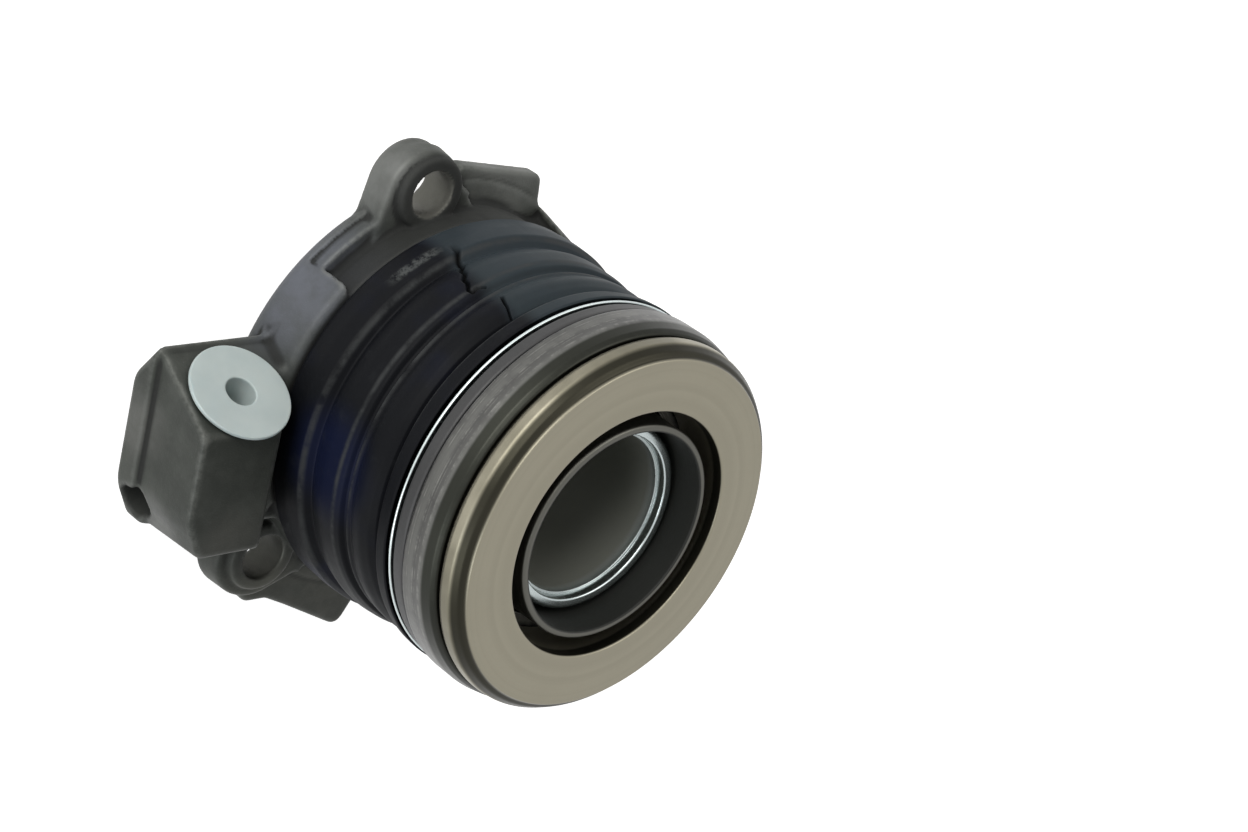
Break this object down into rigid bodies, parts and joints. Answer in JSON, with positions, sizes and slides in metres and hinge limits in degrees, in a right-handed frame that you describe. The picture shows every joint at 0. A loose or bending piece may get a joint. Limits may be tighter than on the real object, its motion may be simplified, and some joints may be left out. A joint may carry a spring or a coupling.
{
  "type": "concentric slave cylinder",
  "caption": "Hydraulic clutch release unit that sits round a gearbox input shaft, with an annular piston, a rubber boot and a ball thrust bearing.",
  "frame": {"origin": "centre of the shaft bore in the plane of the flange's rear face, which bolts to the gearbox", "axes": "+Z along the shaft axis towards the release bearing, -X towards the port block"},
  "size_m": [0.0862, 0.0778, 0.0567],
  "materials": {
    "cast_alloy": "as cast, oily",
    "zinc_plate": "bright zinc plate",
    "turned_steel": "fine turned",
    "dark_steel": "hardened, oiled",
    "ball_steel": "polished",
    "black_rubber": "satin",
    "black_plastic": "matte",
    "pale_plastic": "satin"
  },
  "bodies": {
    "root": {"housing": "cast_alloy", "guide_tube": "zinc_plate", "tube_seal": "black_rubber", "spigot_o_ring": "black_rubber", "drilling_ball": "ball_steel", "dust_boot": "black_rubber", "preload_spring": "dark_steel"},
    "slider": {"piston": "black_plastic", "piston_seal": "black_rubber", "carrier_plate": "zinc_plate", "bearing_carrier": "black_plastic", "wave_spring": "dark_steel", "fixed_race": "dark_steel", "inner_sleeve": "turned_steel"},
    "race": {"contact_ring": "turned_steel"},
    "cage": {"ball_cage": "black_plastic", "bearing_ball_01": "ball_steel", "bearing_ball_02": "ball_steel", "bearing_ball_03": "ball_steel", "bearing_ball_04": "ball_steel", "bearing_ball_05": "ball_steel", "bearing_ball_06": "ball_steel", "bearing_ball_07": "ball_steel", "bearing_ball_08": "ball_steel", "bearing_ball_09": "ball_steel", "bearing_ball_10": "ball_steel", "bearing_ball_11": "ball_steel", "bearing_ball_12": "ball_steel"},
    "plug": {"port_plug": "pale_plastic"}
  },
  "joints": [
    {"name": "release_slide", "type": "slide", "parent": "root", "child": "slider", "axis": [0, 0, 1], "range_m": [-0.0125, 0], "stiffness_N_per_m": 1500, "springref_m": 0.02, "deforming": ["dust_boot", "preload_spring"]},
    {"name": "race_spin", "type": "hinge", "parent": "slider", "child": "race", "pos_m": [0, 0, 0.0425], "axis": [0, 0, 1], "continuous": true},
    {"name": "cage_spin", "type": "hinge", "parent": "slider", "child": "cage", "pos_m": [0, 0, 0.0425], "axis": [0, 0, 1], "continuous": true},
    {"name": "plug_pull", "type": "slide", "parent": "root", "child": "plug", "axis": [0, 0.866, 0.5], "range_m": [0, 0.0115]}
  ],
  "couplings": [
    {"joint": "cage_spin", "follows": "race_spin", "ratio": 0.5}
  ]
}
